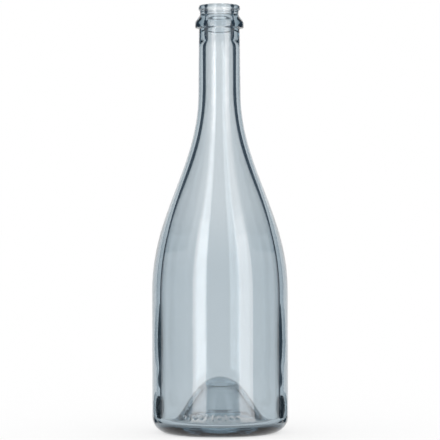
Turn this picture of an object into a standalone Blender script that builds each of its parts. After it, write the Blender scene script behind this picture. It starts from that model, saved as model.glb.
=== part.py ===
"""Sparkling wine bottle for 75 cl, empty and open: one piece of clear moulded glass.

Metres, +Z up. The origin is at the centre of the base, on the plane that the bottle stands on,
and Z is the bottle's own axis. The bottle is a turned shape: one closed outline of radius and
height, which starts under the punt, goes up the outside, over the lip and down the inside, is
spun about Z. A row of raised mould marks is then joined to the front of the body.
"""

import math

import bmesh
import bpy
from mathutils import Matrix, Vector

# Zones from the base up; the finish, which is the shaped mouth, stands on the neck
BODY_HEIGHT = 0.0975
SHOULDER_HEIGHT = 0.1380
NECK_HEIGHT = 0.0435

# Body, shoulder and neck, outside
BODY_RADIUS = 0.0471
NECK_RADIUS = 0.0146
NECK_TOP_RADIUS = 0.0141
BODY_HANDLE = 0.0552
NECK_HANDLE = 0.0522

# Thickness of the glass
BODY_WALL = 0.0068
NECK_WALL = 0.0048
FLOOR_GLASS = 0.0078
PUNT_GLASS = 0.0043

# The shoulder's inner curve: how far it runs past the outer one at each end, and its handles
INNER_SHOULDER_DROP = 0.0054
INNER_SHOULDER_RISE = 0.0057
INNER_BODY_HANDLE = 0.0726
INNER_NECK_HANDLE = 0.0652

# Heel and the flat ring that the bottle stands on
HEEL_RADIUS = 0.0110
BEARING_WIDTH = 0.0020

# Punt, the hollow under the base: a round crown, then a flank that eases out to the foot
PUNT_DEPTH = 0.0346
PUNT_CROWN_RADIUS = 0.0155
PUNT_FLANK_ANGLE = math.radians(50.1)
PUNT_FOOT_ANGLE = math.radians(20)
PUNT_FLANK_HANDLE_SHARE = 0.49
PUNT_FOOT_HANDLE_SHARE = 0.295

# Dome over the punt inside the bottle, of the same kind, and the channel round its foot
DOME_CROWN_RADIUS = 0.0197
DOME_FLANK_ANGLE = math.radians(50.8)
DOME_FLANK_HANDLE_SHARE = 0.46
DOME_FOOT_HANDLE_SHARE = 0.25
CHANNEL_WIDTH = 0.0039
CHANNEL_RISE = 0.0036

# Ring that holds the wire of a cork's cage, from its underside up
RING_RADIUS = 0.01685
RING_UNDERSIDE = 0.0009
RING_CORNER = 0.0008
RING_SIDE = 0.0026
RING_CONE = 0.0065
RING_CONE_HANDLE_SHARE = 0.3

# Groove and lip that a crown cap grips, from the groove up to the flat face of the mouth
GROOVE_RADIUS = 0.0134
GROOVE_HEIGHT = 0.0009
LIP_RADIUS = 0.0144
LIP_UNDERCUT = 0.0021
LIP_SIDE = 0.0009
LIP_ROUND = 0.0023
LIP_FACE_RADIUS = 0.0129

# Bore of the mouth, and how it opens into the neck
BORE_RADIUS = 0.0085
BORE_DEPTH = 0.0200
BORE_BLEND = 0.0100
BORE_BLEND_HANDLE_SHARE = 0.5
MOUTH_ROUND = 0.0014

# Raised mould marks on the front of the body, just above the heel
MARK_ROW = ("dot", "bar", "dot", "dot", "bar", "bar", "dot", "bar", "dot", "dot")
MARK_PITCH = 0.0041
MARK_ROW_OFFSET = -0.0067
MARK_ABOVE_HEEL = 0.0030
MARK_DOT_RADIUS = 0.0011
MARK_BAR_WIDTH = 0.0010
MARK_BAR_HEIGHT = 0.0036
MARK_PROUD = 0.0003
MARK_ROOT = 0.0012
MARK_TOP_SHARE = 0.7

# How finely the round shapes are divided
TURN_SEGMENTS = 60
SHOULDER_STEPS = 12
CROWN_STEPS = 4
FLANK_STEPS = 5
BIG_ROUND_STEPS = 5
SMALL_ROUND_STEPS = 3
MARK_SEGMENTS = 10
MERGE_DISTANCE = 0.000001
SHARP_ANGLE = math.radians(50)

# Heights and radii that follow from the sizes above
NECK_START = BODY_HEIGHT + SHOULDER_HEIGHT
NECK_TOP = NECK_START + NECK_HEIGHT
GROOVE_START = NECK_TOP + RING_UNDERSIDE + RING_CORNER + RING_SIDE + RING_CONE
HEIGHT = GROOVE_START + GROOVE_HEIGHT + LIP_UNDERCUT + LIP_SIDE + LIP_ROUND
BEARING_OUTER_RADIUS = BODY_RADIUS - HEEL_RADIUS
BEARING_INNER_RADIUS = BEARING_OUTER_RADIUS - BEARING_WIDTH
INNER_BODY_RADIUS = BODY_RADIUS - BODY_WALL
INNER_NECK_RADIUS = NECK_RADIUS - NECK_WALL
CHANNEL_RADIUS = INNER_BODY_RADIUS - CHANNEL_WIDTH


def clear_scene():
    """Removes every object, so that the script can be run again."""
    for old in list(bpy.data.objects):
        bpy.data.objects.remove(old, do_unlink=True)


def quarter(start, end, steps, level_first):
    """Points of a quarter ellipse from start to end, leaving out start.

    It leaves start running level, along the radius, if level_first is set, and upright if not.
    """
    points = []
    for step in range(1, steps + 1):
        angle = math.pi / 2 * step / steps
        early, late = math.sin(angle), 1 - math.cos(angle)
        along_radius, along_height = (early, late) if level_first else (late, early)
        points.append((
            start[0] + (end[0] - start[0]) * along_radius,
            start[1] + (end[1] - start[1]) * along_height,
        ))
    return points


def bezier(start, start_handle, end_handle, end, steps):
    """Points of a cubic Bezier curve from start to end, leaving out start."""
    points = []
    for step in range(1, steps + 1):
        t = step / steps
        weights = ((1 - t) ** 3, 3 * (1 - t) ** 2 * t, 3 * (1 - t) * t ** 2, t ** 3)
        corners = (start, start_handle, end_handle, end)
        points.append(tuple(
            sum(weight * corner[axis] for weight, corner in zip(weights, corners))
            for axis in range(2)
        ))
    return points


def upright_blend(start, end, handle_share, steps):
    """A smooth step in radius from start to end that leaves and arrives upright.

    Both handles are the same share of the height between start and end.
    """
    reach = (end[1] - start[1]) * handle_share
    return bezier(start, (start[0], start[1] + reach), (end[0], end[1] - reach), end, steps)


def pushed_up(crown_height, crown_radius, flank_angle, foot, foot_angle, handle_shares):
    """A pushed-up base from its crown, on the axis, down and out to its foot.

    It is a circle's arc until it slopes down by the flank angle, then a Bezier curve that
    arrives at the foot by the foot angle, with handles that are shares of the straight way left.
    """
    points = [(0, crown_height)]
    for step in range(1, CROWN_STEPS + 1):
        angle = flank_angle * step / CROWN_STEPS
        points.append((
            crown_radius * math.sin(angle),
            crown_height - crown_radius * (1 - math.cos(angle)),
        ))
    start = points[-1]
    way = math.dist(start, foot)
    flank_reach, foot_reach = (way * share for share in handle_shares)
    flank_handle = (
        start[0] + flank_reach * math.cos(flank_angle),
        start[1] - flank_reach * math.sin(flank_angle),
    )
    foot_handle = (
        foot[0] - foot_reach * math.cos(foot_angle),
        foot[1] + foot_reach * math.sin(foot_angle),
    )
    return points + bezier(start, flank_handle, foot_handle, foot, FLANK_STEPS)


def punt_underside():
    """From the crown of the punt down and out to the bearing ring."""
    return pushed_up(
        PUNT_DEPTH,
        PUNT_CROWN_RADIUS,
        PUNT_FLANK_ANGLE,
        (BEARING_INNER_RADIUS, 0),
        PUNT_FOOT_ANGLE,
        (PUNT_FLANK_HANDLE_SHARE, PUNT_FOOT_HANDLE_SHARE),
    )


def body_outside():
    """The flat bearing ring, the rounded heel, the straight body, the shoulder and the neck."""
    bearing_edge = (BEARING_OUTER_RADIUS, 0)
    heel_top = (BODY_RADIUS, HEEL_RADIUS)
    body_top = (BODY_RADIUS, BODY_HEIGHT)
    neck_foot = (NECK_RADIUS, NECK_START)
    shoulder = bezier(
        body_top,
        (BODY_RADIUS, BODY_HEIGHT + BODY_HANDLE),
        (NECK_RADIUS, NECK_START - NECK_HANDLE),
        neck_foot,
        SHOULDER_STEPS,
    )
    return (
        [bearing_edge]
        + quarter(bearing_edge, heel_top, BIG_ROUND_STEPS, level_first=True)
        + [body_top]
        + shoulder
        + [(NECK_TOP_RADIUS, NECK_TOP)]
    )


def finish_outside():
    """Outside of the mouth, from the neck up: the wire ring, the groove and the crown cap lip."""
    neck_top = (NECK_TOP_RADIUS, NECK_TOP)
    ring_foot = NECK_TOP + RING_UNDERSIDE
    ring_underside_end = (RING_RADIUS - RING_CORNER, ring_foot)
    ring_side_foot = (RING_RADIUS, ring_foot + RING_CORNER)
    ring_side_top = (RING_RADIUS, ring_side_foot[1] + RING_SIDE)
    groove_foot = (GROOVE_RADIUS, GROOVE_START)
    groove_top = (GROOVE_RADIUS, GROOVE_START + GROOVE_HEIGHT)
    lip_side_foot = (LIP_RADIUS, groove_top[1] + LIP_UNDERCUT)
    lip_side_top = (LIP_RADIUS, lip_side_foot[1] + LIP_SIDE)
    face_outer = (LIP_FACE_RADIUS, HEIGHT)
    return (
        quarter(neck_top, ring_underside_end, SMALL_ROUND_STEPS, level_first=False)
        + quarter(ring_underside_end, ring_side_foot, SMALL_ROUND_STEPS, level_first=True)
        + [ring_side_top]
        + upright_blend(ring_side_top, groove_foot, RING_CONE_HANDLE_SHARE, BIG_ROUND_STEPS)
        + [groove_top]
        + quarter(groove_top, lip_side_foot, SMALL_ROUND_STEPS, level_first=False)
        + [lip_side_top]
        + quarter(lip_side_top, face_outer, SMALL_ROUND_STEPS, level_first=False)
    )


def bore():
    """Inside of the mouth, from the flat top of the lip down to the inner neck."""
    face_inner = (BORE_RADIUS + MOUTH_ROUND, HEIGHT)
    bore_top = (BORE_RADIUS, HEIGHT - MOUTH_ROUND)
    bore_foot = (BORE_RADIUS, HEIGHT - BORE_DEPTH)
    blend_foot = (INNER_NECK_RADIUS, bore_foot[1] - BORE_BLEND)
    return (
        [face_inner]
        + quarter(face_inner, bore_top, SMALL_ROUND_STEPS, level_first=True)
        + [bore_foot]
        + upright_blend(bore_foot, blend_foot, BORE_BLEND_HANDLE_SHARE, SMALL_ROUND_STEPS)
    )


def body_inside():
    """Inner neck, inner shoulder, wall, the channel at the bottom, and the dome over the punt."""
    neck_foot = (INNER_NECK_RADIUS, NECK_START + INNER_SHOULDER_RISE)
    wall_top = (INNER_BODY_RADIUS, BODY_HEIGHT - INNER_SHOULDER_DROP)
    wall_foot = (INNER_BODY_RADIUS, FLOOR_GLASS + CHANNEL_RISE)
    channel_floor = (CHANNEL_RADIUS, FLOOR_GLASS)
    shoulder = bezier(
        neck_foot,
        (INNER_NECK_RADIUS, neck_foot[1] - INNER_NECK_HANDLE),
        (INNER_BODY_RADIUS, wall_top[1] + INNER_BODY_HANDLE),
        wall_top,
        SHOULDER_STEPS,
    )
    dome = pushed_up(
        PUNT_DEPTH + PUNT_GLASS,
        DOME_CROWN_RADIUS,
        DOME_FLANK_ANGLE,
        channel_floor,
        0,
        (DOME_FLANK_HANDLE_SHARE, DOME_FOOT_HANDLE_SHARE),
    )
    return (
        [neck_foot]
        + shoulder
        + [wall_foot]
        + quarter(wall_foot, channel_floor, BIG_ROUND_STEPS, level_first=False)
        + dome[-2::-1]
    )


def spun(outline):
    """The closed skin that an outline of (radius, height) points leaves when it turns about Z."""
    skin = bmesh.new()
    points = [skin.verts.new((radius, 0, height)) for radius, height in outline]
    edges = [skin.edges.new(pair) for pair in zip(points, points[1:])]
    bmesh.ops.spin(
        skin,
        geom=points + edges,
        cent=(0, 0, 0),
        axis=(0, 0, 1),
        angle=2 * math.pi,
        steps=TURN_SEGMENTS,
        use_merge=True,
    )
    bmesh.ops.remove_doubles(skin, verts=skin.verts, dist=MERGE_DISTANCE)
    bmesh.ops.recalc_face_normals(skin, faces=skin.faces)
    return skin


def mark_shape(marks, kind):
    """Adds one mark to the bmesh, along its own Z, from its root to its raised face."""
    depth = MARK_ROOT + MARK_PROUD
    if kind == "dot":
        return bmesh.ops.create_cone(
            marks,
            cap_ends=True,
            segments=MARK_SEGMENTS,
            radius1=MARK_DOT_RADIUS,
            radius2=MARK_DOT_RADIUS * MARK_TOP_SHARE,
            depth=depth,
        )["verts"]
    corners = bmesh.ops.create_cube(marks, size=1)["verts"]
    bar_size = Matrix.Diagonal((MARK_BAR_WIDTH, MARK_BAR_HEIGHT, depth, 1))
    bmesh.ops.transform(marks, matrix=bar_size, verts=corners)
    for corner in corners:
        if corner.co.z > 0:
            corner.co.x *= MARK_TOP_SHARE
    return corners


def mark_row():
    """The row of raised marks, as one guide object that the bottle is joined with."""
    marks = bmesh.new()
    depth = MARK_ROOT + MARK_PROUD
    for index, kind in enumerate(MARK_ROW):
        along = MARK_ROW_OFFSET + (index - (len(MARK_ROW) - 1) / 2) * MARK_PITCH
        turn = along / BODY_RADIUS
        outward = Vector((math.sin(turn), -math.cos(turn), 0))
        upright = Vector((0, 0, 1))
        sideways = upright.cross(outward)
        axes = Matrix((sideways, upright, outward)).transposed().to_4x4()
        centre = outward * (BODY_RADIUS + MARK_PROUD - depth / 2)
        centre.z = HEEL_RADIUS + MARK_ABOVE_HEEL
        place = Matrix.Translation(centre) @ axes
        bmesh.ops.transform(marks, matrix=place, verts=mark_shape(marks, kind))
    bmesh.ops.recalc_face_normals(marks, faces=marks.faces)
    row = linked_object("mould_mark_row", marks)
    row.hide_render = True
    row.display_type = "WIRE"
    return row


def linked_object(name, shape):
    """Turns a bmesh into an object in the scene."""
    mesh = bpy.data.meshes.new(name)
    shape.to_mesh(mesh)
    shape.free()
    made = bpy.data.objects.new(name, mesh)
    bpy.context.scene.collection.objects.link(made)
    return made


def clear_glass():
    """Clear bottle glass with a faint grey-blue cast."""
    material = bpy.data.materials.new("clear_bottle_glass")
    material.use_nodes = True
    shader = material.node_tree.nodes["Principled BSDF"]
    shader.inputs["Base Color"].default_value = (0.70, 0.75, 0.77, 1.0)
    shader.inputs["Roughness"].default_value = 0.02
    shader.inputs["Metallic"].default_value = 0.0
    shader.inputs["Transmission Weight"].default_value = 1.0
    shader.inputs["IOR"].default_value = 1.52
    return material


def glass_bottle():
    """The bottle itself: the spun glass with the mould marks joined on."""
    outline = punt_underside() + body_outside() + finish_outside() + bore() + body_inside()
    bottle = linked_object("glass_bottle", spun(outline))
    join = bottle.modifiers.new("mould marks", "BOOLEAN")
    join.operation = "UNION"
    join.solver = "EXACT"
    join.object = mark_row()
    bottle.data.shade_smooth()
    bottle.data.set_sharp_from_angle(angle=SHARP_ANGLE)
    bottle.data.materials.append(clear_glass())
    return bottle


clear_scene()
glass_bottle()
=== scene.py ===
"""Looks of the empty sparkling wine bottle: its glass, the studio round it and the camera.

The bottle's sizes are in millimetres until they reach its mesh, and its angles in radians. The
ripple of its glass, the floor, the camera's place and the cards are in metres, and the cards'
angles in degrees.
"""

import math

import bpy
import numpy as np
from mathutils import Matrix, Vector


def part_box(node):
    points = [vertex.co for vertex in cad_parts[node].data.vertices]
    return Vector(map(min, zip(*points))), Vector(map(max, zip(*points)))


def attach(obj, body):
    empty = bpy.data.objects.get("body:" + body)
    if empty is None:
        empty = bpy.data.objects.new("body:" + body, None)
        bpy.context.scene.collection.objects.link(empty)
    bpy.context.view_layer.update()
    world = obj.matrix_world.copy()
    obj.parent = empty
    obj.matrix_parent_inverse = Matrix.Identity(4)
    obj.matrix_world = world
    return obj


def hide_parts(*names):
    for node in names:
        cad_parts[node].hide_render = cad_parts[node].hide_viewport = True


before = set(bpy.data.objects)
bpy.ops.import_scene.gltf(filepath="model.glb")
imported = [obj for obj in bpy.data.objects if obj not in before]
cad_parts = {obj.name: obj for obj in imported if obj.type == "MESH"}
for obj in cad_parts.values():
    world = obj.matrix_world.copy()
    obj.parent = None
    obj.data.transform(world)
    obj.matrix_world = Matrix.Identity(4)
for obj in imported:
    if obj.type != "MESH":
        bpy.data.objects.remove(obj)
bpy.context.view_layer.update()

# The bottle
# One piece of clear glass, pressed and blown in a two-part iron mould, then fire polished.
# Its wall is thick for the pressure of the gas, its base is pushed up into a punt, and its mouth
# has a lip for a crown cap and a ring for the wire of a cork's cage.

MM = 0.001

# Zones from the base up, and the outside of body, shoulder and neck
bottle_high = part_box("glass_bottle")[1]
HEIGHT = bottle_high.z / MM
BODY_RADIUS = bottle_high.x / MM
BODY_TOP = 97.5
NECK_START = 235.5
NECK_TOP = 279.0
NECK_RADIUS = 14.6
NECK_TOP_RADIUS = 14.1
BODY_HANDLE = 55.2
NECK_HANDLE = 52.2
SHOULDER_STEPS = 64

# Heel, bearing ring and punt
HEEL_RADIUS = 11.0
BEARING_OUTER = BODY_RADIUS - HEEL_RADIUS
BEARING_INNER = BEARING_OUTER - 2.0
BEARING_ROUND = 0.6
PUNT_DEPTH = 34.6
PUNT_CROWN_RADIUS = 15.5
PUNT_FLANK_ANGLE = math.radians(50.1)
PUNT_FOOT_ANGLE = math.radians(20)
PUNT_HANDLE_SHARES = (0.49, 0.295)
PUNT_END_RADIUS = BEARING_INNER - 3 * BEARING_ROUND
PUNT_ROWS = 150

# Inside of the glass: body, the slightly thinner wall by the heel and the heights between which
# it sets in, neck, channel, and the dome over the punt
INNER_BODY_RADIUS = BODY_RADIUS - 6.8
INNER_HEEL_RADIUS = BODY_RADIUS - 6.5
INNER_HEEL_HEIGHTS = (25.0, 47.0)
INNER_NECK_RADIUS = NECK_RADIUS - 4.8
INNER_BODY_TOP = 92.1
INNER_NECK_START = 241.2
INNER_BODY_HANDLE = 72.6
INNER_NECK_HANDLE = 65.2
CHANNEL_FLOOR = (36.4, 7.8)
CHANNEL_RISE = 3.6
DOME_CROWN = PUNT_DEPTH + 4.3
DOME_CROWN_RADIUS = 19.7
DOME_FLANK_ANGLE = math.radians(50.8)
DOME_HANDLE_SHARES = (0.46, 0.25)
DOME_CROWN_STEPS = 12
DOME_FLANK_STEPS = 36

# Mouth: wire ring, groove, lip and bore
RING_RADIUS = 16.85
RING_UNDERSIDE = 0.9
RING_CORNER = 0.8
RING_SIDE = 2.6
RING_CONE = 6.5
RING_CONE_SHARE = 0.3
GROOVE_RADIUS = 13.4
GROOVE_HEIGHT = 0.9
LIP_RADIUS = 14.4
LIP_UNDERCUT = 2.1
LIP_SIDE = 0.9
LIP_FACE_RADIUS = 12.9
BORE_RADIUS = 8.5
BORE_DEPTH = 20.0
BORE_BLEND = 10.0
MOUTH_ROUND = 1.4

# Traces of the mould: teeth round the punt's crown, fine rings down its flank, knurling of the
# bearing ring, and the raised marks on the front. An edge is where a trace fades: a width, a pair
# of radii or heights, or half a width at the marks.
TOOTH_COUNT = 36
TOOTH_DEPTH = 0.7
TOOTH_RADII = (9.0, 12.5)
TOOTH_EDGE = 1.0
FLANK_RING_DEPTH = 0.07
FLANK_RING_PITCH = 1.3
FLANK_RING_RADII = (12.5, 29.0)
FLANK_RING_EDGE = 2.0
KNURL_COUNT = 144
KNURL_DEPTH = 0.35
KNURL_INNER_EDGE = (32.0, 33.5)
KNURL_OUTER_EDGE = (38.5, 40.5)
KNURL_TOP_EDGE = (2.0, 4.0)
MARK_ROW = ("dot", "bar", "dot", "dot", "bar", "bar", "dot", "bar", "dot", "dot")
MARK_PITCH = 4.1
MARK_ROW_OFFSET = -6.7
MARK_HEIGHT = HEEL_RADIUS + 3.0
MARK_DOT_RADIUS = 1.1
MARK_BAR = (0.5, 1.8)
MARK_PROUD = 0.3
MARK_EDGE = 0.35
MARK_TOP = MARK_HEIGHT + MARK_BAR[1] + 2 * MARK_EDGE
MARK_INNER_RADIUS = BODY_RADIUS - 0.5

# Segments round the axis: fine where the knurling and the marks are, plain elsewhere
FINE_TURN = 720
PLAIN_TURN = 144

# Glass: its bending of light, its cast over the depth, and its ripple, drawn out along the axis
GLASS_CLEAR = (1.0, 1.0, 1.0, 1.0)
GLASS_IOR = 1.52
GLASS_CAST = (0.18, 0.34, 0.43, 1.0)
GLASS_DENSITY = 70.0
RIPPLE_STRETCH = (1.0, 1.0, 0.25)
RIPPLE_SCALE = 90.0
RIPPLE_DETAIL = 1.0
RIPPLE_ROUGHNESS = 0.4
RIPPLE_STRENGTH = 0.05
RIPPLE_HEIGHT = 0.0002


def bezier(start, start_handle, end_handle, end, steps):
    """Cubic Bezier curve without its start: the four corners weighed by Bernstein's cubics of t."""
    t = np.linspace(0, 1, steps + 1)[1:, None]
    weights = np.hstack([(1 - t) ** 3, 3 * (1 - t) ** 2 * t, 3 * (1 - t) * t ** 2, t ** 3])
    return weights @ np.array([start, start_handle, end_handle, end], float)


def quarter(start, end, steps, level_first):
    """Quarter ellipse without its start: sine of the turn along the axis that it leaves by, and
    one less its cosine along the other. It leaves level, along the radius, or else upright."""
    turn = np.linspace(0, math.pi / 2, steps + 1)[1:]
    early, late = np.sin(turn), 1 - np.cos(turn)
    shares = np.stack([early, late] if level_first else [late, early], axis=1)
    return np.array(start) + (np.array(end) - np.array(start)) * shares


def straight(start, end, steps):
    """Straight run without its start: start plus even shares of the way to end."""
    share = np.linspace(0, 1, steps + 1)[1:, None]
    return np.array(start) + (np.array(end, float) - np.array(start)) * share


def upright_blend(start, end, steps, share=0.5):
    """Smooth step in radius: a Bezier curve that leaves and arrives upright, by handles that are
    a share of its height."""
    reach = (end[1] - start[1]) * share
    return bezier(start, (start[0], start[1] + reach), (end[0], end[1] - reach), end, steps)


def smooth_step(low, high, value):
    """0 below low, 1 above high and 3 s^2 - 2 s^3 between, where s is the share of the way."""
    s = np.clip((value - low) / (high - low), 0, 1)
    return s * s * (3 - 2 * s)


def smooth_band(radii, edge, radius):
    """1 between two radii and 0 outside them, by a smooth step as wide as edge inside each."""
    inner, outer = radii
    return smooth_step(inner, inner + edge, radius) - smooth_step(outer - edge, outer, radius)


def ridges(angle):
    """0 to 1 and back in each turn of the angle: half of one less its cosine."""
    return 0.5 - 0.5 * np.cos(angle)


def dome_outline(crown, crown_radius, flank_angle, foot, foot_angle, shares):
    """A pushed-up base from beside its crown to its foot: a circle's arc until it slopes by the
    flank's angle, then a Bezier curve whose handles are shares of the straight way left."""
    turn = np.linspace(0, flank_angle, DOME_CROWN_STEPS + 1)[1:]
    arc = np.stack([np.sin(turn), np.cos(turn) - 1], axis=1) * crown_radius + (0, crown)
    foot = np.array(foot, float)
    way = np.hypot(*(foot - arc[-1]))
    flank = np.array([math.cos(flank_angle), -math.sin(flank_angle)]) * way * shares[0]
    arrival = np.array([math.cos(foot_angle), -math.sin(foot_angle)]) * way * shares[1]
    run = bezier(arc[-1], arc[-1] + flank, foot - arrival, foot, DOME_FLANK_STEPS)
    return np.vstack([arc, run])


def punt_outline():
    """The underside of the punt from beside its crown down to the foot of its flank: a dome's
    outline, measured along its length and cut again into even steps."""
    whole = dome_outline(
        PUNT_DEPTH, PUNT_CROWN_RADIUS, PUNT_FLANK_ANGLE,
        (BEARING_INNER, 0), PUNT_FOOT_ANGLE, PUNT_HANDLE_SHARES,
    )
    way = np.concatenate([[0], np.cumsum(np.hypot(*np.diff(whole, axis=0).T))])
    even = np.linspace(0, way[-1], PUNT_ROWS)
    fine = np.stack([np.interp(even, way, column) for column in whole.T], axis=1)
    return fine[fine[:, 0] < PUNT_END_RADIUS]


def foot_outline(punt):
    """From the foot of the punt over the bearing ring and the heel to above the mould marks."""
    heel_top = (BODY_RADIUS, HEEL_RADIUS)
    ring_start = (BEARING_INNER + BEARING_ROUND, 0)
    ring_end = (BEARING_OUTER, 0)
    step = punt[-1] - punt[-2]
    onward = punt[-1] + step * BEARING_ROUND / np.hypot(*step)
    return np.vstack([
        bezier(punt[-1], onward, (BEARING_INNER, 0), ring_start, steps=6),
        straight(ring_start, ring_end, steps=3),
        quarter(ring_end, heel_top, steps=18, level_first=True),
        straight(heel_top, (BODY_RADIUS, MARK_TOP), steps=14),
    ])


def outside_outline():
    """From above the mould marks up the body, the shoulder and the neck, and over the lip."""
    body_top = (BODY_RADIUS, BODY_TOP)
    neck_foot = (NECK_RADIUS, NECK_START)
    neck_top = (NECK_TOP_RADIUS, NECK_TOP)
    ring_foot = NECK_TOP + RING_UNDERSIDE
    underside_end = (RING_RADIUS - RING_CORNER, ring_foot)
    side_foot = (RING_RADIUS, ring_foot + RING_CORNER)
    side_top = (RING_RADIUS, side_foot[1] + RING_SIDE)
    groove_foot = (GROOVE_RADIUS, side_top[1] + RING_CONE)
    groove_top = (GROOVE_RADIUS, groove_foot[1] + GROOVE_HEIGHT)
    lip_foot = (LIP_RADIUS, groove_top[1] + LIP_UNDERCUT)
    lip_top = (LIP_RADIUS, lip_foot[1] + LIP_SIDE)
    return np.vstack([
        straight((BODY_RADIUS, MARK_TOP), body_top, steps=5),
        bezier(body_top, (BODY_RADIUS, BODY_TOP + BODY_HANDLE),
               (NECK_RADIUS, NECK_START - NECK_HANDLE), neck_foot, SHOULDER_STEPS),
        straight(neck_foot, neck_top, steps=3),
        quarter(neck_top, underside_end, steps=6, level_first=False),
        quarter(underside_end, side_foot, steps=5, level_first=True),
        straight(side_foot, side_top, steps=1),
        upright_blend(side_top, groove_foot, steps=12, share=RING_CONE_SHARE),
        straight(groove_foot, groove_top, steps=1),
        quarter(groove_top, lip_foot, steps=6, level_first=False),
        straight(lip_foot, lip_top, steps=1),
        quarter(lip_top, (LIP_FACE_RADIUS, HEIGHT), steps=8, level_first=False),
    ])


def inside_outline():
    """From the face of the lip down the bore, the neck and the body to beside the dome's crown."""
    face_inner = (BORE_RADIUS + MOUTH_ROUND, HEIGHT)
    bore_top = (BORE_RADIUS, HEIGHT - MOUTH_ROUND)
    bore_foot = (BORE_RADIUS, HEIGHT - BORE_DEPTH)
    blend_foot = (INNER_NECK_RADIUS, bore_foot[1] - BORE_BLEND)
    neck_foot = (INNER_NECK_RADIUS, INNER_NECK_START)
    wall_top = (INNER_BODY_RADIUS, INNER_BODY_TOP)
    wall_foot = (INNER_BODY_RADIUS, INNER_HEEL_HEIGHTS[1])
    heel_top = (INNER_HEEL_RADIUS, INNER_HEEL_HEIGHTS[0])
    heel_foot = (INNER_HEEL_RADIUS, CHANNEL_FLOOR[1] + CHANNEL_RISE)
    dome = dome_outline(
        DOME_CROWN, DOME_CROWN_RADIUS, DOME_FLANK_ANGLE, CHANNEL_FLOOR, 0, DOME_HANDLE_SHARES,
    )
    return np.vstack([
        [face_inner],
        quarter(face_inner, bore_top, steps=6, level_first=True),
        straight(bore_top, bore_foot, steps=3),
        upright_blend(bore_foot, blend_foot, steps=8),
        straight(blend_foot, neck_foot, steps=4),
        bezier(neck_foot, (INNER_NECK_RADIUS, INNER_NECK_START - INNER_NECK_HANDLE),
               (INNER_BODY_RADIUS, INNER_BODY_TOP + INNER_BODY_HANDLE), wall_top, SHOULDER_STEPS),
        straight(wall_top, wall_foot, steps=10),
        upright_blend(wall_foot, heel_top, steps=8),
        straight(heel_top, heel_foot, steps=4),
        quarter(heel_foot, CHANNEL_FLOOR, steps=16, level_first=False),
        dome[-2::-1],
    ])


def punt_lift(radius, turn):
    """How far the mould's traces rise into the glass over the punt: teeth, which are ridges round
    the axis on a ring round the crown, and rings, which are ridges along the radius."""
    teeth = smooth_band(TOOTH_RADII, TOOTH_EDGE, radius)
    rings = smooth_band(FLANK_RING_RADII, FLANK_RING_EDGE, radius)
    return (TOOTH_DEPTH * teeth * ridges(TOOTH_COUNT * turn)
            + FLANK_RING_DEPTH * rings * ridges(2 * math.pi * radius / FLANK_RING_PITCH))


def knurl_lift(radius, height, turn):
    """How far the foot is cut up between the knurls: ridges round the axis, only on the ring
    between the inner and the outer edge of the knurling, and only low down."""
    inner = smooth_step(*KNURL_INNER_EDGE, radius)
    outer = 1 - smooth_step(*KNURL_OUTER_EDGE, radius)
    low = 1 - smooth_step(*KNURL_TOP_EDGE, height)
    return KNURL_DEPTH * inner * outer * low * ridges(KNURL_COUNT * turn)


def mark_lift(height, turn):
    """How far the glass stands proud at the marks: one less a smooth step of the distance to
    each mark's edge, the largest of all marks. The front is at a turn of minus 90 degrees."""
    along = (turn + math.pi / 2) * BODY_RADIUS
    lift = np.zeros(np.broadcast(height, turn).shape)
    for index, kind in enumerate(MARK_ROW):
        centre = MARK_ROW_OFFSET + (index - (len(MARK_ROW) - 1) / 2) * MARK_PITCH
        across = np.abs(along - centre)
        upward = np.abs(height - MARK_HEIGHT)
        if kind == "dot":
            beyond = np.hypot(across, upward) - MARK_DOT_RADIUS
        else:
            beyond = np.maximum(across - MARK_BAR[0], upward - MARK_BAR[1])
        lift = np.maximum(lift, 1 - smooth_step(-MARK_EDGE, MARK_EDGE, beyond))
    return MARK_PROUD * lift


def turned(outline, segments):
    """Grid of radius, height and turn: the outline down the rows, even turns along the columns."""
    turn = np.linspace(-math.pi, math.pi, segments, endpoint=False)[None, :]
    radius, height = outline[:, :1], outline[:, 1:]
    ones = np.ones((len(outline), segments))
    return radius * ones, height * ones, turn * ones


def placed(radius, height, turn):
    """Points in metres: radius times cosine and sine of the turn, and the height."""
    grid = np.stack([radius * np.cos(turn), radius * np.sin(turn), height], axis=-1)
    return grid.reshape(-1, 3) * MM


def ring_quads(start, rows, segments):
    """Four-sided faces between the neighbouring rings of a grid whose first vertex is start."""
    row, here = np.meshgrid(np.arange(rows - 1), np.arange(segments), indexing="ij")
    there = (here + 1) % segments
    first = start + row * segments
    second = first + segments
    return np.stack(
        [first + here, first + there, second + there, second + here], axis=-1
    ).reshape(-1, 4)


def fan_strip(fine, plain, segments, split, fine_first):
    """Triangles between a fine ring and a plain one with split times fewer vertices: each fine
    edge goes to the nearer plain vertex, and one triangle fills the gap in the middle."""
    here = np.arange(segments * split)
    there = (here + 1) % (segments * split)
    owner = here // split
    nearer = (owner + (here % split >= split // 2)) % segments
    fans = np.stack([fine + here, fine + there, plain + nearer], axis=1)
    each = np.arange(segments)
    middles = each * split + split // 2
    gaps = np.stack([fine + middles, plain + (each + 1) % segments, plain + each], axis=1)
    triangles = np.vstack([fans, gaps])
    return triangles if fine_first else triangles[:, ::-1]


def crown_strip(crown, ring, segments):
    """Triangles from a crown's one vertex to each edge of the ring round it."""
    here = np.arange(segments)
    return np.stack([0 * here + crown, ring + here, ring + (here + 1) % segments], axis=1)


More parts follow.
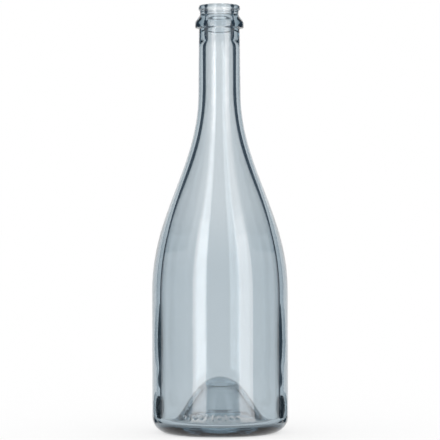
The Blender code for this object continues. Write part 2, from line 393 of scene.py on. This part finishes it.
def bottle_mesh():
    """The closed skin of the glass: rings of vertices from the punt's crown to the dome's."""
    punt = punt_outline()
    foot = foot_outline(punt)
    rest = np.vstack([outside_outline(), inside_outline()])

    punt_radius, punt_height, punt_turn = turned(punt, PLAIN_TURN)
    radius, height, turn = turned(foot, FINE_TURN)
    on_wall = radius > MARK_INNER_RADIUS
    height = height + knurl_lift(radius, height, turn)
    radius = radius + np.where(on_wall, mark_lift(height, turn), 0)
    points = [
        np.array([[0, 0, PUNT_DEPTH * MM]]),
        placed(punt_radius, punt_height + punt_lift(punt_radius, punt_turn), punt_turn),
        placed(radius, height, turn),
        placed(*turned(rest, PLAIN_TURN)),
        np.array([[0, 0, DOME_CROWN * MM]]),
    ]

    punt_crown = 0
    punt_start = punt_crown + 1
    foot_start = punt_start + len(punt) * PLAIN_TURN
    rest_start = foot_start + len(foot) * FINE_TURN
    dome_crown = rest_start + len(rest) * PLAIN_TURN
    quads = np.vstack([
        ring_quads(punt_start, len(punt), PLAIN_TURN),
        ring_quads(foot_start, len(foot), FINE_TURN),
        ring_quads(rest_start, len(rest), PLAIN_TURN),
    ])
    split = FINE_TURN // PLAIN_TURN
    triangles = np.vstack([
        fan_strip(foot_start, foot_start - PLAIN_TURN, PLAIN_TURN, split, fine_first=False),
        fan_strip(rest_start - FINE_TURN, rest_start, PLAIN_TURN, split, fine_first=True),
        crown_strip(punt_crown, punt_start, PLAIN_TURN)[:, [0, 2, 1]],
        crown_strip(dome_crown, dome_crown - PLAIN_TURN, PLAIN_TURN),
    ])

    mesh = bpy.data.meshes.new("bottle_glass")
    mesh.from_pydata(np.vstack(points).tolist(), [], quads.tolist() + triangles.tolist())
    mesh.shade_smooth()
    return mesh


def add_object(name, mesh, material):
    """A new object of the scene, with this mesh and this material."""
    made = bpy.data.objects.new(name, mesh)
    bpy.context.scene.collection.objects.link(made)
    made.data.materials.append(material)
    return made


class Shade:
    """A socket in a material's node tree. Python arithmetic on it adds Math nodes."""

    def __init__(self, tree, socket=None):
        self.tree = tree
        self.socket = socket

    def node(self, kind, settings, sockets):
        """Adds a node: its settings first, then a value or a Shade for each of its sockets, which
        are given by name, or by place where two share a name."""
        made = self.tree.nodes.new(kind)
        for name, value in settings.items():
            setattr(made, name, value)
        for name, value in sockets.items():
            if isinstance(value, Shade):
                self.tree.links.new(value.socket, made.inputs[name])
            else:
                made.inputs[name].default_value = value
        return made

    def out(self, made, name):
        """The named output of a node as a Shade."""
        return Shade(self.tree, made.outputs[name])

    def maths(self, operation, other):
        """A Math node on this Shade and a number or another Shade."""
        made = self.node("ShaderNodeMath", {"operation": operation}, {0: self, 1: other})
        return self.out(made, "Value")

    def __add__(self, other):
        return self.maths("ADD", other)

    __radd__ = __add__

    def __mul__(self, other):
        return self.maths("MULTIPLY", other)

    __rmul__ = __mul__


def blank_material(name):
    """A new material whose node tree is empty, and a Shade to fill that tree with."""
    material = bpy.data.materials.new(name)
    material.use_nodes = True
    material.node_tree.nodes.clear()
    return material, Shade(material.node_tree)


def bottle_glass():
    """Clear glass with a grey-blue cast from its depth, and the faint ripple of moulded glass."""
    material, start = blank_material("clear_bottle_glass")
    place = start.node("ShaderNodeTexCoord", {}, {})
    streaks = start.node(
        "ShaderNodeMapping", {}, {"Vector": start.out(place, "Object"), "Scale": RIPPLE_STRETCH}
    )
    ripple = start.node("ShaderNodeTexNoise", {}, {
        "Vector": start.out(streaks, "Vector"),
        "Scale": RIPPLE_SCALE, "Detail": RIPPLE_DETAIL, "Roughness": RIPPLE_ROUGHNESS,
    })
    bump = start.node("ShaderNodeBump", {}, {
        "Strength": RIPPLE_STRENGTH, "Distance": RIPPLE_HEIGHT, "Height": start.out(ripple, "Fac"),
    })
    surface = start.node("ShaderNodeBsdfPrincipled", {}, {
        "Base Color": GLASS_CLEAR, "Roughness": 0.0, "IOR": GLASS_IOR,
        "Transmission Weight": 1.0, "Normal": start.out(bump, "Normal"),
    })
    depth = start.node(
        "ShaderNodeVolumeAbsorption", {}, {"Color": GLASS_CAST, "Density": GLASS_DENSITY}
    )
    start.node("ShaderNodeOutputMaterial", {}, {
        "Surface": start.out(surface, "BSDF"), "Volume": start.out(depth, "Volume"),
    })
    return material


bottle = add_object("bottle_glass", bottle_mesh(), bottle_glass())
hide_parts("glass_bottle")
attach(bottle, "root")

# The floor and the white surround
# A wide matt white sheet in a white surround that lights it evenly from all sides. It also glows
# as if lit from below, with painted shade under the bottle where it glows less, and it keeps the
# bottle's own faint shadow.

FLOOR_HALF = 20.0
WHITE = (1.0, 1.0, 1.0, 1.0)
TABLE_GLOW = 0.7
# Painted shade under the bottle: the radii over which the glow comes back, and the share of it left
# at the centre
PAINTED_SHADE_RADII = (0.034, 0.042)
PAINTED_SHADE_SHARE = 0.3


def light_table():
    """Matt white sheet lit from below: most of what the camera, a reflection or the glass sees
    of it is its own even white, and the rest is the light that falls on it. Under the bottle,
    out to the heel, its own white is dimmer: painted shade under the bottle."""
    material, start = blank_material("white_light_table")
    path = start.node("ShaderNodeLightPath", {}, {})
    seen = (start.out(path, "Is Camera Ray") + start.out(path, "Is Glossy Ray")
            + start.out(path, "Is Transmission Ray"))
    sheet = start.node("ShaderNodeBsdfDiffuse", {}, {"Color": WHITE, "Roughness": 0.0})
    glow = start.node("ShaderNodeEmission", {}, {"Color": WHITE, "Strength": 1.0})
    place = start.node("ShaderNodeTexCoord", {}, {})
    reach = start.node(
        "ShaderNodeVectorMath", {"operation": "LENGTH"}, {"Vector": start.out(place, "Object")}
    )
    # Painted shade: the glow falls to a share of itself under the bottle, out to the heel
    glow_with_painted_shade = start.node("ShaderNodeMapRange", {"interpolation_type": "SMOOTHSTEP"}, {
        "Value": start.out(reach, "Value"),
        "From Min": PAINTED_SHADE_RADII[0], "From Max": PAINTED_SHADE_RADII[1],
        "To Min": TABLE_GLOW * PAINTED_SHADE_SHARE, "To Max": TABLE_GLOW,
    })
    both = start.node("ShaderNodeMixShader", {}, {
        "Fac": seen * start.out(glow_with_painted_shade, "Result"),
        1: start.out(sheet, "BSDF"), 2: start.out(glow, "Emission"),
    })
    start.node("ShaderNodeOutputMaterial", {}, {"Surface": start.out(both, "Shader")})
    return material


floor_mesh = bpy.data.meshes.new("floor")
floor_mesh.from_pydata(
    [(-FLOOR_HALF, -FLOOR_HALF, 0), (FLOOR_HALF, -FLOOR_HALF, 0),
     (FLOOR_HALF, FLOOR_HALF, 0), (-FLOOR_HALF, FLOOR_HALF, 0)],
    [], [(0, 1, 2, 3)],
)
floor = add_object("floor", floor_mesh, light_table())

world = bpy.data.worlds.new("white_surround")
bpy.context.scene.world = world
world.use_nodes = True
world.node_tree.nodes["Background"].inputs["Color"].default_value = WHITE
world.node_tree.nodes["Background"].inputs["Strength"].default_value = 1.0

# The camera
# A long lens at half the bottle's height, level, at a distance judged from the photograph. It
# stands a hair to the side and is rolled a little, as the bottle stands in the picture.

CAMERA_DISTANCE = 1.45
CAMERA_HEIGHT = 0.147
CAMERA_ASIDE = 0.00015
CAMERA_ROLL = math.radians(0.14)
VIEW_WIDTH = 0.3053
SENSOR_WIDTH = 36.0

camera = bpy.data.objects.new("camera", bpy.data.cameras.new("camera"))
bpy.context.scene.collection.objects.link(camera)
camera.data.sensor_width = SENSOR_WIDTH
camera.data.lens = SENSOR_WIDTH * CAMERA_DISTANCE / VIEW_WIDTH
camera.location = (CAMERA_ASIDE, -CAMERA_DISTANCE, CAMERA_HEIGHT)
camera.rotation_euler = (math.pi / 2, CAMERA_ROLL, 0)
bpy.context.scene.camera = camera
bpy.context.scene.view_settings.view_transform = "Standard"

# The studio's cards
# Dark flags, side cards and wings behind the bottle draw the dark lines in its glass, skirts and
# floor shadows low down darken its flanks, and two tall softboxes in front leave the highlights.
# They keep their places round the camera, and only reflections and the glass see them.

CARD_STEPS = 16
CARD_DISTANCE = 0.5
FLANK = 0.043
FLOOR_GAP = 0.001
BLACK = (0.004, 0.007, 0.010)

# Flags and side cards: the distance at which they start on the floor, and the height of the head
FLAG_GREY = (0.030, 0.045, 0.060)
FLAG_ANGLES = (48.5, 53.5)
FLAG_FOOT = 0.1
FLAG_HEAD = 0.36
SIDE_GREY = (0.20, 0.25, 0.30)
SIDE_ANGLES = (54.0, 66.0)
SIDE_FOOT = 0.2
SIDE_HEAD = 0.7

# Wings, just inside the flags and side cards, and so are the skirts: heights and angles
WING_DISTANCE = CARD_DISTANCE - 0.01
WING_GREY = (0.060, 0.085, 0.110)
WING_ARCS = (
    (0.175, (48.5, 54.0)),
    (0.200, (46.5, 60.0)),
    (0.230, (43.0, 80.0)),
    (0.270, (39.0, 110.0)),
    (0.300, (35.5, 120.0)),
    (0.900, (35.5, 120.0)),
)

# Skirts: heights, and the angles of the back and of the side piece
SKIRT_ARCS = (
    (0.013, (46.0, 48.0), (57.0, 60.0)),
    (0.022, (40.5, 48.5), (55.0, 62.5)),
    (0.034, (37.5, 49.0), (54.0, 62.5)),
    (0.052, (40.0, 48.5), (55.0, 62.5)),
    (0.070, (46.0, 48.0), (57.0, 60.0)),
)

# Floor shadows: distances, and the angles of the back and of the side piece
SHADOW_ARCS = (
    (0.060, (34.0, 48.0), (54.0, 62.0)),
    (0.100, (34.0, 48.0), (54.0, 63.0)),
    (0.130, (32.0, 48.0), (54.0, 64.0)),
    (0.160, (30.0, 48.0), (53.0, 66.0)),
    (0.190, (28.0, 48.0), (52.0, 66.0)),
    (0.235, (28.5, 48.0), (52.0, 66.0)),
    (0.280, (31.0, 48.0), (53.0, 65.0)),
    (0.330, (36.0, 48.0), (55.0, 63.0)),
    (0.355, (42.0, 48.0), (56.0, 60.0)),
)

# Softboxes: they start near the bottle on the floor, and dim from part to part towards the head
SOFTBOX_DISTANCE = 0.32
SOFTBOX_FOOT = 0.11
SOFTBOX_HEIGHTS = (FLOOR_GAP, 0.29, 0.35, 0.8)
SOFTBOX_LEVELS = (1.0, 0.75, 0.5)
SOFTBOX_WHITE = (5.0, 4.7, 4.55)
SOFTBOX_ANGLES = {-1: (136.5, 158.0), 1: (127.0, 150.0)}


def floor_arc(distance, angles):
    """An arc just over the floor that lies in line with the arc of the same angles at the cards'
    distance, as the flank of the glass sees it: the angles grow by the difference between the
    two arc sines of the flank's radius over the distance."""
    turn = math.degrees(math.asin(FLANK / distance) - math.asin(FLANK / CARD_DISTANCE))
    return distance, FLOOR_GAP, (angles[0] + turn, angles[1] + turn)


def card(name, side, arcs, colour):
    """A card that runs from arc to arc round the bottle. Each arc is a distance from the
    bottle's axis, a height, and two angles that are counted in degrees from the direction
    behind the bottle, to the right for a side of 1 and to the left for -1."""
    rows = []
    for distance, height, angles in arcs:
        angle = side * np.radians(np.linspace(angles[0], angles[1], CARD_STEPS + 1))
        rows.append(np.column_stack([
            distance * np.sin(angle), distance * np.cos(angle), np.full(len(angle), height),
        ]))
    step = np.arange(CARD_STEPS)[None, :] + np.arange(len(arcs) - 1)[:, None] * (CARD_STEPS + 1)
    step = step.ravel()
    head_step = step + CARD_STEPS + 1
    faces = np.stack([step, step + 1, head_step + 1, head_step], axis=1)
    mesh = bpy.data.meshes.new(name)
    mesh.from_pydata(np.vstack(rows).tolist(), [], faces.tolist())

    material, start = blank_material(name)
    light = start.node("ShaderNodeEmission", {}, {"Color": (*colour, 1.0)})
    start.node("ShaderNodeOutputMaterial", {}, {"Surface": start.out(light, "Emission")})

    made = add_object(name, mesh, material)
    made.visible_camera = False
    made.visible_diffuse = False
    made.visible_shadow = False
    made.visible_volume_scatter = False
    made.parent = camera
    made.matrix_parent_inverse = camera.matrix_basis.inverted()


for side, name in ((-1, "left"), (1, "right")):
    card(
        f"flag_{name}", side,
        [floor_arc(FLAG_FOOT, FLAG_ANGLES), floor_arc(CARD_DISTANCE / 2, FLAG_ANGLES),
         floor_arc(CARD_DISTANCE, FLAG_ANGLES), (CARD_DISTANCE, FLAG_HEAD, FLAG_ANGLES)],
        FLAG_GREY,
    )
    card(
        f"side_{name}", side,
        [floor_arc(SIDE_FOOT, SIDE_ANGLES), floor_arc(CARD_DISTANCE, SIDE_ANGLES),
         (CARD_DISTANCE, SIDE_HEAD, SIDE_ANGLES)],
        SIDE_GREY,
    )
    card(
        f"wing_{name}", side,
        [(WING_DISTANCE, height, angles) for height, angles in WING_ARCS], WING_GREY,
    )
    for place, part in ((1, "back"), (2, "side")):
        card(
            f"skirt_{part}_{name}", side,
            [(WING_DISTANCE, arc[0], arc[place]) for arc in SKIRT_ARCS], FLAG_GREY,
        )
        card(
            f"floor_shadow_{part}_{name}", side,
            [floor_arc(arc[0], arc[place]) for arc in SHADOW_ARCS], BLACK,
        )
    angles = SOFTBOX_ANGLES[side]
    card(
        f"softbox_foot_{name}", side,
        [(SOFTBOX_FOOT, FLOOR_GAP, angles), (SOFTBOX_DISTANCE, FLOOR_GAP, angles)],
        SOFTBOX_WHITE,
    )
    for index, level in enumerate(SOFTBOX_LEVELS):
        card(
            f"softbox_{index + 1}_{name}", side,
            [(SOFTBOX_DISTANCE, height, angles) for height in SOFTBOX_HEIGHTS[index:index + 2]],
            [level * part for part in SOFTBOX_WHITE],
        )
